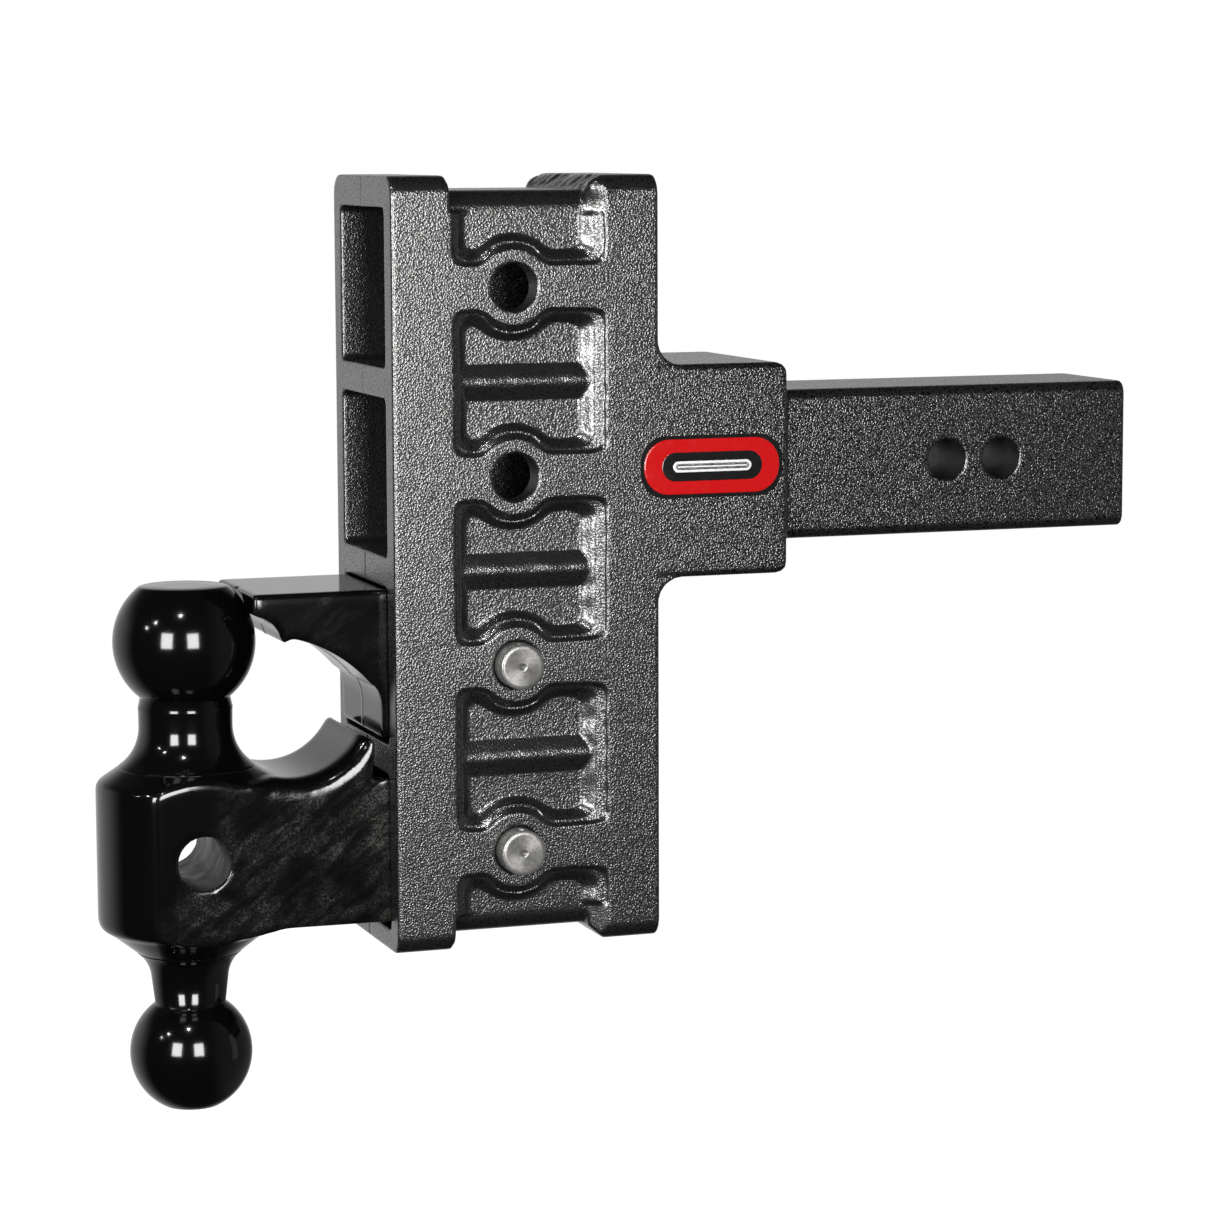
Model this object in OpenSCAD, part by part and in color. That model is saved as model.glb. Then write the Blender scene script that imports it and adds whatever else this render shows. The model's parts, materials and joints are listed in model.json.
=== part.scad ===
// Drop hitch for a square receiver: a cast ladder frame on a solid shank, with a
// dual-ball mount and a pintle lock held in its windows by two cross pins.
//
// Axes: +X towards the vehicle's receiver, +Y to the side the pins are pulled
// from, +Z up. Origin: centre of the shank's outer hitch-pin bore. Millimetres.

/* [Receiver shank] */
// Width and height of the square shank
shank_w = 63.5; // [60:0.1:66]
// Radius along the shank's long edges
shank_edge_r = 5; // [2:0.5:8]
// Hitch-pin bore, diameter
hitch_bore_d = 17.5; // [16:0.1:19]
// Distance between the two hitch-pin bores
hitch_bore_pitch = 25.4; // [22:0.1:40]
// From the outer hitch-pin bore to the shank's free end
shank_tail = 59; // [40:1:80]
// From the socket's mouth to the outer hitch-pin bore
shank_reach = 104.3; // [90:0.1:140]

/* [Drop frame] */
// Width of the frame and its socket
frame_w = 88.9; // [84:0.1:95]
// Depth of the frame, front face to rear face
frame_d = 114.3; // [110:0.1:125]
// Distance from one window to the next
window_pitch = 77.5; // [76:0.1:80]
// Height of a window
window_h = 65; // [62:0.5:66]
// Width of a window
window_w = 66; // [65:0.5:70]
// Depth of a window from the front face
window_d = 89; // [86:0.5:92]
// Radius of a window's corners
window_r = 3; // [2.5:0.5:3.5]
// Height of the frame above the top window's centre
frame_top = 45.4; // [42:0.1:50]
// Height of the frame below the bottom window's centre
frame_bottom = 41.3; // [40:0.1:45]
// Radius of the frame's long top and bottom edges
frame_edge_r = 8; // [3:0.5:10]
// Length of the socket that holds the shank
socket_l = 57.2; // [45:0.1:70]
// Fillet between the socket and the frame's rear face
socket_fillet_r = 10; // [4:0.5:14]

/* [Side pockets] */
// Depth of the pockets in the frame's sides
pocket_depth = 5.5; // [3:0.5:7]
// Height of a pocket at its mouth
pocket_h = 60; // [54:0.5:64]
// From the front face to a pocket's front edge
pocket_front = 25.7; // [22:0.1:28]
// From the front face to a pocket's rear edge
pocket_rear = 91.5; // [88:0.1:96]
// How far a pocket's walls slope in from mouth to floor
pocket_slope = 8; // [4:0.5:9]
// Radius of the raised boss round a pin bore, at the frame's side
boss_r = 16; // [14:0.5:17]
// Width of the round rib across a pocket's floor
rib_w = 15; // [8:0.5:16]
// Height of that rib
rib_h = 3; // [2:0.5:4]
// Depth of the notches across the frame's top and bottom
notch_depth = 6; // [4:0.5:7]
// Radius where a notch's floor rolls over into the pockets
shoulder_r = 9; // [4:0.5:10]

/* [Cross pins] */
// Pin diameter
pin_d = 19.05; // [18:0.05:20]
// Gap between a pin and its bore, on the radius
pin_gap = 0.3; // [0.2:0.05:0.5]
// From the front face to the pins' axes
pin_back = 52; // [48:0.5:56]
// How far a pin's plain end stands out of the frame
pin_proud = 8.4; // [7:0.1:15]
// Radius of the collar at a pin's pull end
collar_r = 15; // [13:0.5:16]
// Middle radius of a pull ring
ring_r = 14; // [13:0.5:18]
// Thickness of a pull ring's wire
ring_wire_d = 4; // [3:0.5:4.5]

/* [Dual-ball mount] */
// Diameter of the upper ball
upper_ball_d = 58.74; // [58:0.01:59]
// Diameter of the lower ball
lower_ball_d = 50.8; // [50:0.01:51]
// From the frame's front face out to the balls' axis
ball_out = 77.6; // [76:0.1:80]
// Width of the ball mount and of the pintle lock
tang_w = 64; // [62:0.5:64.5]
// Radius of the block's round front
block_r = 37.5; // [36:0.5:40]
// Diameter of the bore across the block
cross_bore_d = 22.2; // [18:0.1:24]

/* [Badge] */
// Length of the badge
badge_l = 63; // [40:1:70]
// Height of the badge
badge_h = 26; // [16:1:30]

/* [Hidden] */
$fn = 96;

eps = 0.01;
over = 1;            // how far a cutter runs past the face that it cuts
weld_leg = 6;
weld_bite = 0.2;     // how far the bead sinks into what it joins
badge_sunk = 0.2;    // how far each badge layer is let into the one below

// Places along X
x_mouth = -shank_reach;
x_rear = x_mouth - socket_l;
x_front = x_rear - frame_d;
x_pin = x_front + pin_back;
x_ball = x_front - ball_out;
x_tang = x_front + window_d - 9;

notch_x0 = x_front + 25;
notch_x1 = x_front + 84;
badge_r = 11;

// Places along Y
side_y = frame_w / 2;
collar_y = side_y + pin_gap;
collar_l = 5;
eye_y = collar_y + collar_l + 9;
eye_r = 8;
eye_hole_r = 3.8;
eye_t = 6.5;
ring_drop = 0.9;     // the ring's wire hangs this far below the eye's centre
plain_end_y = -side_y - pin_proud;
clip_hole_d = 4.2;

// Heights: the second window is level with the shank
window_z = [for (i = [1:-1:-2]) i * window_pitch];
z_top = window_z[0] + frame_top;
z_bottom = window_z[3] - frame_bottom;
lock_z = window_z[2];
mount_z = window_z[3];

// Dual-ball mount, heights from the lower pin's axis
upper_ball_z = mount_z + 87.8;
upper_flat_z = upper_ball_z + 23.2;
lower_ball_z = mount_z - 84.2;
lower_flat_z = lower_ball_z - 22.8;
block_top_z = mount_z + 30.6;
block_bottom_z = mount_z - 32.3;
cross_bore_z = mount_z + 0.5;
upper_neck_r = 19.05;
lower_neck_r = 14.6;
saddle_r = 30;
saddle_x = x_front - 38;
saddle_z = mount_z + 62.5;

// Pintle lock, from its pin's axis
lock_top = 31.9;
lock_h = 61.7;

// ---- helpers -----------------------------------------------------------

// Points on an arc of radius r about (cx, cz), from angle a0 to a1
function arc(cx, cz, r, a0, a1, n = 12) =
    [for (i = [0:n]) let (a = a0 + (a1 - a0) * i / n) [cx + r * cos(a), cz + r * sin(a)]];

// Extrudes a Y-Z profile along +X
module along_x(length) {
    rotate([90, 0, 90]) linear_extrude(length) children();
}

// Extrudes an X-Z profile along Y, centred on the mid-plane
module along_y(length) {
    rotate([90, 0, 0]) linear_extrude(length, center = true) children();
}

// Rectangle with round corners, centred
module round_rect(w, h, r) {
    square([w - 2 * r, h], center = true);
    square([w, h - 2 * r], center = true);
    for (x = [-1, 1], y = [-1, 1])
        translate([x * (w / 2 - r), y * (h / 2 - r)]) circle(r);
}

// Cylinder along Y, through the whole width
module cross_hole(x, z, d) {
    translate([x, 0, z])
        rotate([90, 0, 0]) cylinder(d = d, h = frame_w + 2 * over, center = true);
}

// ---- drop frame --------------------------------------------------------

// Ladder body with its long edges rounded
module frame_body() {
    translate([x_front, 0, (z_top + z_bottom) / 2])
        along_x(frame_d) round_rect(frame_w, z_top - z_bottom, frame_edge_r);
}

// Socket at the rear, its mouth's corners rounded in side view
module socket_body() {
    mouth_r = 5;
    intersection() {
        translate([x_rear - over, 0, 0]) along_x(socket_l + over) round_rect(frame_w, frame_w, 3);
        translate([x_mouth - socket_l / 2 - frame_d / 4, 0, 0])
            along_y(frame_w) round_rect(socket_l + frame_d / 2, frame_w, mouth_r);
    }
}

// Fillet between the socket's top or bottom and the frame's rear face
module socket_fillet(side) {
    r = socket_fillet_r;
    along_y(frame_w) translate([x_rear - eps, side * side_y]) difference() {
        translate([0, side > 0 ? -eps : -r]) square([r, r + eps]);
        translate([r, side * r]) circle(r);
    }
}

// Blind window in the front face
module window_cut(z) {
    translate([x_front - over, 0, z])
        along_x(window_d + over) round_rect(window_w, window_h, window_r);
}

// Pocket between two heights in the near side, with sloping walls
module pocket_block(z_low, z_high) {
    y0 = -side_y;
    y1 = y0 + pocket_depth;
    x0 = x_front + pocket_front;
    x1 = x_front + pocket_rear;
    s = pocket_slope;
    intersection() {
        translate([0, 0, z_low])
            linear_extrude(z_high - z_low)
                polygon([[x0, y0 - over], [x1, y0 - over], [x1, y0], [x1 - s, y1], [x0 + s, y1], [x0, y0]]);
        translate([x0, 0, 0])
            along_x(x1 - x0)
                polygon([[y0 - over, z_low], [y0, z_low], [y1, z_low + s],
                         [y1, z_high - s], [y0, z_high], [y0 - over, z_high]]);
    }
}

// Round boss left standing round a pin bore, wider at the pocket's floor
module boss(z) {
    translate([x_pin, -side_y - 2 * over, z]) rotate([-90, 0, 0]) {
        cylinder(r = boss_r, h = 2 * over);
        translate([0, 0, 2 * over - eps])
            cylinder(r1 = boss_r, r2 = boss_r + 4, h = pocket_depth + over);
    }
}

// Low round rib across a pocket's floor
module floor_rib(z) {
    r = (rib_w * rib_w / 4 + rib_h * rib_h) / (2 * rib_h);
    translate([x_front + pocket_front, -side_y + pocket_depth + r - rib_h, z])
        rotate([0, 90, 0]) cylinder(r = r, h = pocket_rear - pocket_front);
}

// All pockets of the near side
module near_pockets() {
    half = pocket_h / 2;
    difference() {
        union() {
            for (i = [0:2]) {
                mid = (window_z[i] + window_z[i + 1]) / 2;
                pocket_block(mid - half, mid + half);
            }
            pocket_block(window_z[0] + window_pitch / 2 - half, z_top + 20);
            pocket_block(z_bottom - 20, window_z[3] - window_pitch / 2 + half);
        }
        for (z = window_z) boss(z);
        for (i = [0:2]) floor_rib((window_z[i] + window_z[i + 1]) / 2);
    }
}

// Notch across the frame's top (side 1) or bottom (side -1)
module notch(side) {
    z = side > 0 ? z_top : z_bottom;
    rise = 7;
    along_y(frame_w + 2 * over)
        polygon([[notch_x0 - 1, z + side * over], [notch_x0, z - side * notch_depth],
                 [notch_x1, z - side * notch_depth], [notch_x1 + rise, z],
                 [notch_x1 + rise, z + side * over]]);
}

// Round-over between a notch's floor and the pockets' floors on both sides
module notch_shoulders(side) {
    z = (side > 0 ? z_top : z_bottom) - side * notch_depth;
    reach = shoulder_r + pocket_depth + over;
    for (m = [0, 1])
        translate([notch_x0, 0, z])
            mirror([0, m, 0]) mirror([0, 0, side > 0 ? 0 : 1])
                along_x(notch_x1 - notch_x0)
                    translate([side_y - pocket_depth - shoulder_r, -shoulder_r]) difference() {
                        square([reach, shoulder_r + over]);
                        circle(shoulder_r);
                    }
}

module drop_frame() {
    color("dimgray") difference() {
        union() {
            frame_body();
            socket_body();
            for (side = [-1, 1]) socket_fillet(side);
        }
        for (z = window_z) {
            window_cut(z);
            cross_hole(x_pin, z, pin_d + 2 * pin_gap);
        }
        near_pockets();
        mirror([0, 1, 0]) near_pockets();
        for (side = [-1, 1]) {
            notch(side);
            notch_shoulders(side);
        }
        translate([x_rear, 0, 0])
            along_x(socket_l + over) round_rect(shank_w + 0.5, shank_w + 0.5, shank_edge_r);
    }
}

// ---- shank -------------------------------------------------------------

module shank() {
    color("dimgray") difference() {
        translate([x_rear + 0.5, 0, 0])
            along_x(shank_tail - x_rear - 0.5) round_rect(shank_w, shank_w, shank_edge_r);
        cross_hole(0, 0, hitch_bore_d);
        cross_hole(-hitch_bore_pitch, 0, hitch_bore_d);
    }
}

// Section of the bead, out from the shank along x and up the shank along y
module bead_section() {
    b = weld_leg;
    polygon([[-weld_bite, -weld_bite], [b, -weld_bite], [0.72 * b, 0.52 * b],
             [0.52 * b, 0.72 * b], [-weld_bite, b]]);
}

// Fillet weld all round the shank at the socket's mouth
module shank_weld() {
    flat = shank_w - 2 * shank_edge_r;
    color("gray") translate([x_mouth, 0, 0]) rotate([0, 90, 0])
        for (turn = [0:90:270]) rotate([0, 0, turn]) {
            translate([shank_w / 2, flat / 2, 0])
                rotate([90, 0, 0]) linear_extrude(flat) bead_section();
            translate([flat / 2, flat / 2, 0])
                rotate_extrude(angle = 90) translate([shank_edge_r, 0]) bead_section();
        }
}

// ---- badge -------------------------------------------------------------

// One layer of the badge, let into what lies under it
module badge_layer(l, h, r, y_under, thick) {
    translate([x_mouth - 34, y_under + badge_sunk, 2])
        rotate([90, 0, 0]) linear_extrude(thick + badge_sunk) round_rect(l, h, r);
}

module badge_base() {
    color("black") badge_layer(badge_l, badge_h, badge_r, -side_y, 0.7);
}

module badge_face() {
    color("firebrick") badge_layer(badge_l - 3, badge_h - 3, badge_r - 1.5, -side_y - 0.7, 0.4);
}

// ---- dual-ball mount ---------------------------------------------------

// Half profile of the block with the flares that rise to its two necks
module column_profile() {
    up = upper_neck_r;
    down = lower_neck_r;
    z_up = block_top_z + 22.4;
    z_down = block_bottom_z - 22.7;
    polygon(concat(
        [[0, upper_ball_z], [up, upper_ball_z]],
        arc(up + 20, z_up, 20, 180, 235),
        [[block_r - 1, block_top_z], [block_r, block_top_z - 1.2]],
        arc(block_r - 5, block_bottom_z + 5, 5, 0, -80, 8),
        arc(down + 16.5, z_down, 16.5, 130, 180),
        [[down, lower_ball_z], [0, lower_ball_z]]
    ));
}

// Ball with one side cut flat at height z_flat
module flat_ball(d, z, z_flat) {
    s = sign(z_flat - z);
    difference() {
        translate([0, 0, z]) sphere(d = d);
        translate([0, 0, z_flat + s * d / 2]) cube([d, d, d], center = true);
    }
}

// Side view of the arm: block, saddle, horn and tang
module arm_profile() {
    difference() {
        polygon([
            [x_ball, block_top_z], [x_front - 50, block_top_z + 2],
            [x_front - 12, mount_z + 50.5], [x_front - 8, mount_z + 49],
            [x_front - 6.5, mount_z + 31], [x_tang, mount_z + 31],
            [x_tang, mount_z - 31], [x_front, mount_z - 29.4], [x_front - 43, mount_z - 29],
            [x_front - 59, block_bottom_z], [x_ball, block_bottom_z]
        ]);
        translate([saddle_x, saddle_z]) circle(saddle_r);
    }
}

module dual_ball_mount() {
    color([0.06, 0.06, 0.06]) difference() {
        union() {
            translate([x_ball, 0, 0]) intersection() {
                union() {
                    rotate_extrude() column_profile();
                    flat_ball(upper_ball_d, upper_ball_z, upper_flat_z);
                    flat_ball(lower_ball_d, lower_ball_z, lower_flat_z);
                }
                cube([4 * block_r, tang_w, 600], center = true);
            }
            along_y(tang_w) arm_profile();
        }
        cross_hole(x_ball, cross_bore_z, cross_bore_d);
        cross_hole(x_pin, mount_z, pin_d + 2 * pin_gap);
    }
}

// ---- pintle lock -------------------------------------------------------

// Side view of the lock: block in the window, hook and beak outside it
module lock_profile() {
    z = lock_z;
    x = x_front;
    polygon(concat(
        [[x - 56, z + lock_top], [x_tang, z + lock_top],
         [x_tang, z + lock_top - lock_h], [x - 2.1, z + lock_top - lock_h]],
        arc(x - 20.1, z - 17, 18, 0, 42, 5),
        arc(x - 54.2, z - 47.4, 62.5, 39, 76, 10),
        [[x - 41.6, z + 12.4], [x - 43.4, z + 11.2], [x - 44.5, z + 15.5],
         [x - 47.1, z + 19.2], [x - 51.3, z + 22], [x - 56, z + 23.6]]
    ));
}

module pintle_lock() {
    ball_gap = 1.5;
    edge_r = 2;
    color([0.06, 0.06, 0.06]) difference() {
        intersection() {
            along_y(tang_w) lock_profile();
            translate([x_front - ball_out, 0, lock_z + lock_top - lock_h / 2])
                along_x(ball_out + window_d) round_rect(tang_w, lock_h, edge_r);
        }
        translate([x_ball, 0, upper_ball_z]) sphere(d = upper_ball_d + 2 * ball_gap);
        cross_hole(x_pin, lock_z, pin_d + 2 * pin_gap);
    }
}

// ---- pins and pull rings -----------------------------------------------

// Round body of a pin: plain end with a centre mark, shaft, collar
module pin_profile() {
    r = pin_d / 2;
    y = plain_end_y;
    c = 0.8;
    mark = 1.3;
    polygon([
        [0, y + mark], [mark, y], [r - c, y], [r, y + c], [r, collar_y],
        [collar_r - c, collar_y], [collar_r, collar_y + c], [collar_r, collar_y + collar_l - c],
        [collar_r - c, collar_y + collar_l], [0, collar_y + collar_l]
    ]);
}

// Pin across the frame at height z, with a flat eye for its pull ring
module cross_pin(z) {
    color("silver") translate([x_pin, 0, z]) difference() {
        union() {
            rotate([-90, 0, 0]) rotate_extrude() pin_profile();
            translate([-eye_t / 2, collar_y + collar_l - eps, -eye_r])
                cube([eye_t, eye_y - collar_y - collar_l + eps, 2 * eye_r]);
            translate([0, eye_y, 0]) rotate([0, 90, 0]) cylinder(r = eye_r, h = eye_t, center = true);
        }
        translate([0, eye_y, 0]) rotate([0, 90, 0]) cylinder(r = eye_hole_r, h = 3 * eye_t, center = true);
        translate([0, plain_end_y + pin_proud / 2, 0]) cylinder(d = clip_hole_d, h = 2 * pin_d, center = true);
    }
}

// Wire ring that hangs from the eye of the pin at height z
module pull_ring(z) {
    color("gainsboro") translate([x_pin, eye_y, z - ring_drop - ring_r])
        rotate([90, 0, 0]) rotate_extrude() translate([ring_r, 0]) circle(d = ring_wire_d, $fn = 32);
}

module upper_pin() {
    cross_pin(lock_z);
}

module lower_pin() {
    cross_pin(mount_z);
}

module upper_pull_ring() {
    pull_ring(lock_z);
}

module lower_pull_ring() {
    pull_ring(mount_z);
}

drop_frame();
shank();
shank_weld();
badge_base();
badge_face();
dual_ball_mount();
pintle_lock();
upper_pin();
lower_pin();
upper_pull_ring();
lower_pull_ring();
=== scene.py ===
"""Looks of a drop hitch with a dual-ball mount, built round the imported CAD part.

Everything is in metres, in the part's own frame. The casting, the shank, both
forgings and the pins are close copies of their CAD solids with worked edges. The
balls, the weld bead and the badge's layers are built here. The pull rings and the
badge's base keep their CAD shape and only get a finish.
"""

import json
import math

import bmesh
import bpy
import numpy as np
from mathutils import Euler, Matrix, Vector


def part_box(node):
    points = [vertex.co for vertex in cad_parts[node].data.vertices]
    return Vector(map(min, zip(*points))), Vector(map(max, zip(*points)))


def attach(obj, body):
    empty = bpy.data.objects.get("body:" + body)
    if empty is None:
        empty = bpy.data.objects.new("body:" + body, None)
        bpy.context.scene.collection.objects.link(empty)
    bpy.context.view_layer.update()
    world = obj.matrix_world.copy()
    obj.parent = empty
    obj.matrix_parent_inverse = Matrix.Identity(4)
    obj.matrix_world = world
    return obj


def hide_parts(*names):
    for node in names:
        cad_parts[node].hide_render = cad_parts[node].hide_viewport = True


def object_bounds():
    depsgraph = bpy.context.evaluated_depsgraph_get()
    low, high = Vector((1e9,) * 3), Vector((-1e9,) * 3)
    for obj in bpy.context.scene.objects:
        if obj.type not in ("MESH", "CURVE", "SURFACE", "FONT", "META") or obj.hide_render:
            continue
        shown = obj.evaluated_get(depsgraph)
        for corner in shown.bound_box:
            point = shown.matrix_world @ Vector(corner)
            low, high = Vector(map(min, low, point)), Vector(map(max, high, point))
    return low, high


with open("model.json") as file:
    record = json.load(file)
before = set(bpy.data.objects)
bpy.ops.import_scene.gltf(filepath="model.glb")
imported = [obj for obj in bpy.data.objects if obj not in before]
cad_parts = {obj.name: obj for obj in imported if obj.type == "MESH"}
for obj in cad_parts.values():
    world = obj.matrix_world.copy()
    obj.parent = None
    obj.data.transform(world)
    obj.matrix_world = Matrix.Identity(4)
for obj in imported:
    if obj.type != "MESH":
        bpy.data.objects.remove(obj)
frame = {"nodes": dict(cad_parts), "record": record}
CAD_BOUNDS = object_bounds()

MM = 0.001


# ---- places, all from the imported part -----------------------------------

MOUNTS = {m["name"]: Vector(m["pos_m"]) for m in frame["record"]["mounts"]}
FRAME_LOW, FRAME_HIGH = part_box("drop_frame")
PIN_LOW, PIN_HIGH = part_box("lower_pin")
TANG_SIDE_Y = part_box("dual_ball_mount")[1].y
SHANK_FRONT_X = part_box("shank")[0].x

FRONT_X = FRAME_LOW.x
MOUTH_X = FRAME_HIGH.x
SIDE_Y = FRAME_HIGH.y
TOP_Z = FRAME_HIGH.z
BOTTOM_Z = FRAME_LOW.z
PIN_X = (PIN_LOW.x + PIN_HIGH.x) / 2
BALL_X = MOUNTS["upper_ball"].x
UPPER_BALL_Z = MOUNTS["upper_ball"].z
LOWER_BALL_Z = MOUNTS["lower_ball"].z
PITCH = MOUNTS["frame_bore_top"].z
BORE_Z = [PITCH * i for i in (1, 0, -1, -2)]
MOUNT_Z = BORE_Z[3]
BLOCK_TOP = MOUNT_Z + 30.6 * MM
BLOCK_BOTTOM = MOUNT_Z - 32.3 * MM
UPPER_BALL_R = 29.37 * MM
LOWER_BALL_R = 25.4 * MM


# ---- node helpers --------------------------------------------------------

class Shader:
    """A material's node tree with short calls for the nodes used here."""

    def __init__(self, name):
        self.material = bpy.data.materials.new(name)
        self.material.use_nodes = True
        self.tree = self.material.node_tree
        self.bsdf = self.tree.nodes["Principled BSDF"]
        self.place = self.add("ShaderNodeTexCoord").outputs["Object"]

    def add(self, kind, **values):
        node = self.tree.nodes.new(kind)
        for key, value in values.items():
            if hasattr(node, key):
                setattr(node, key, value)
            else:
                node.inputs[key.replace("_", " ")].default_value = value
        return node

    def link(self, out, to):
        self.tree.links.new(out, to)

    def set(self, **values):
        for key, value in values.items():
            self.bsdf.inputs[key.replace("_", " ")].default_value = value

    def stretched(self, scale, turn=0):
        """Object coordinates turned about Y by degrees, then times a scale per axis."""
        place = self.place
        if turn:
            spun = self.add("ShaderNodeVectorRotate", rotation_type="Y_AXIS")
            spun.inputs["Angle"].default_value = math.radians(turn)
            self.link(place, spun.inputs["Vector"])
            place = spun.outputs["Vector"]
        node = self.add("ShaderNodeMapping")
        node.inputs["Scale"].default_value = scale
        self.link(place, node.inputs["Vector"])
        return node.outputs["Vector"]

    def noise(self, scale, detail=2.0, roughness=0.5, distortion=0.0, vector=None):
        node = self.add("ShaderNodeTexNoise", Scale=scale, Detail=detail, Roughness=roughness,
                        Distortion=distortion)
        self.link(vector or self.place, node.inputs["Vector"])
        return node.outputs["Fac"]

    def smooth_cells(self, scale, smoothness):
        """Distance to the middle of the nearest cell, with the borders smoothed."""
        node = self.add("ShaderNodeTexVoronoi", feature="SMOOTH_F1", Scale=scale)
        node.inputs["Smoothness"].default_value = smoothness
        self.link(self.place, node.inputs["Vector"])
        return node.outputs["Distance"]

    def remap(self, value, low, high, to_low=0.0, to_high=1.0):
        """Smooth step from to_low at low to to_high at high."""
        node = self.add("ShaderNodeMapRange", interpolation_type="SMOOTHSTEP")
        node.inputs["From Min"].default_value = low
        node.inputs["From Max"].default_value = high
        node.inputs["To Min"].default_value = to_low
        node.inputs["To Max"].default_value = to_high
        self.link(value, node.inputs["Value"])
        return node.outputs["Result"]

    def math(self, operation, a, b=None):
        node = self.add("ShaderNodeMath", operation=operation)
        for socket, value in zip(node.inputs, (a, b)):
            if isinstance(value, (int, float)):
                socket.default_value = value
            elif value is not None:
                self.link(value, socket)
        return node.outputs[0]

    def ramp(self, value, *stops):
        """Colour ramp between two (position, colour) stops."""
        node = self.add("ShaderNodeValToRGB")
        for stop, (position, colour) in zip(node.color_ramp.elements, stops):
            stop.position = position
            stop.color = (*colour, 1)
        self.link(value, node.inputs["Fac"])
        return node.outputs["Color"]

    def mix(self, share, a, b):
        """Colour a at share 0 and b at share 1."""
        node = self.add("ShaderNodeMix", data_type="RGBA")
        self.link(share, node.inputs["Factor"])
        for socket, value in ((node.inputs[6], a), (node.inputs[7], b)):
            if isinstance(value, tuple):
                socket.default_value = (*value, 1)
            else:
                self.link(value, socket)
        return node.outputs[2]

    def normal_axis(self, axis):
        """One axis of the surface's own normal."""
        split = self.add("ShaderNodeSeparateXYZ")
        self.link(self.add("ShaderNodeNewGeometry").outputs["Normal"], split.inputs[0])
        return split.outputs[axis]

    def place_axis(self, axis):
        """One axis of the object coordinates, in metres."""
        split = self.add("ShaderNodeSeparateXYZ")
        self.link(self.place, split.inputs[0])
        return split.outputs[axis]

    def bump(self, height, depth, strength=1.0, under=None):
        """Bump of a given depth in metres, over another bump if given."""
        node = self.add("ShaderNodeBump", Strength=strength, Distance=depth)
        self.link(height, node.inputs["Height"])
        if under is not None:
            self.link(under, node.inputs["Normal"])
        return node.outputs["Normal"]


# ---- finishes --------------------------------------------------------------

def hammertone():
    """Charcoal hammertone powder coat: small glossy domes with gaps darkened as painted shade, and the gaps
    painted blacker at the rear as shade from the light falling off.

    The domes are flatter on the pockets' sloping walls, and most of all on walls that
    face the front.
    """
    s = Shader("hammertone_powder_coat")
    s.set(Metallic=0.92, IOR=1.5, Coat_Weight=0.3, Coat_Roughness=0.22)
    domes = s.smooth_cells(1180, 0.4)
    relief = s.math("SUBTRACT", s.math("MULTIPLY", s.noise(1500, detail=0.5), 0.6), domes)
    rearward = s.remap(s.place_axis("X"), PIN_X, SHANK_FRONT_X + 60 * MM)
    tops = s.remap(relief, -0.42, -0.18)
    # Painted shade: the gap colour is darker than the domes' tops, as shade in the recesses, and goes
    # blacker from the pins towards the shank, as the light falling off there.
    painted_gap_shade = s.mix(rearward, (0.037, 0.0367, 0.0362), (0.008, 0.0079, 0.0078))
    s.link(s.mix(tops, painted_gap_shade, (0.097, 0.0962, 0.095)), s.bsdf.inputs["Base Color"])
    side = s.math("ABSOLUTE", s.normal_axis("Y"))
    wall = s.math("MULTIPLY", s.remap(side, 0.35, 0.6), s.remap(side, 0.985, 0.93))
    rear = s.math("MULTIPLY", wall, s.remap(s.normal_axis("X"), -0.22, -0.40))
    dull = s.math("SUBTRACT", s.remap(tops, 0.0, 1.0, 0.38, 0.26), s.math("MULTIPLY", wall, 0.09))
    s.link(s.math("ADD", dull, s.math("MULTIPLY", rear, 0.08)), s.bsdf.inputs["Roughness"])
    height = s.math("MULTIPLY", relief, s.remap(wall, 0.0, 1.0, 1.0, 0.6))
    height = s.math("MULTIPLY", height, s.remap(rear, 0.0, 1.0, 1.0, 0.7))
    height = s.math("MULTIPLY", height, s.remap(rearward, 0.0, 1.0, 0.80, 1.1))
    s.link(s.bump(height, 0.19 * MM), s.bsdf.inputs["Normal"])
    return s.material


def bore_paint_and_shade():
    """Thin smooth paint inside a bore, toned near black as painted shade inside the bore."""
    s = Shader("bore_paint_and_shade")
    s.set(Metallic=0.3, IOR=1.5)
    smear = s.noise(120, detail=4, roughness=0.6)
    # Painted shade: the near-black tone of the bore walls stands in for the shade inside the bore.
    tone = s.mix(s.remap(smear, 0.35, 0.7), (0.009, 0.009, 0.009), (0.022, 0.021, 0.020))
    s.link(tone, s.bsdf.inputs["Base Color"])
    s.link(s.remap(smear, 0.3, 0.7, 0.34, 0.5), s.bsdf.inputs["Roughness"])
    s.link(s.bump(smear, 0.03 * MM, 0.4), s.bsdf.inputs["Normal"])
    return s.material


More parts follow.
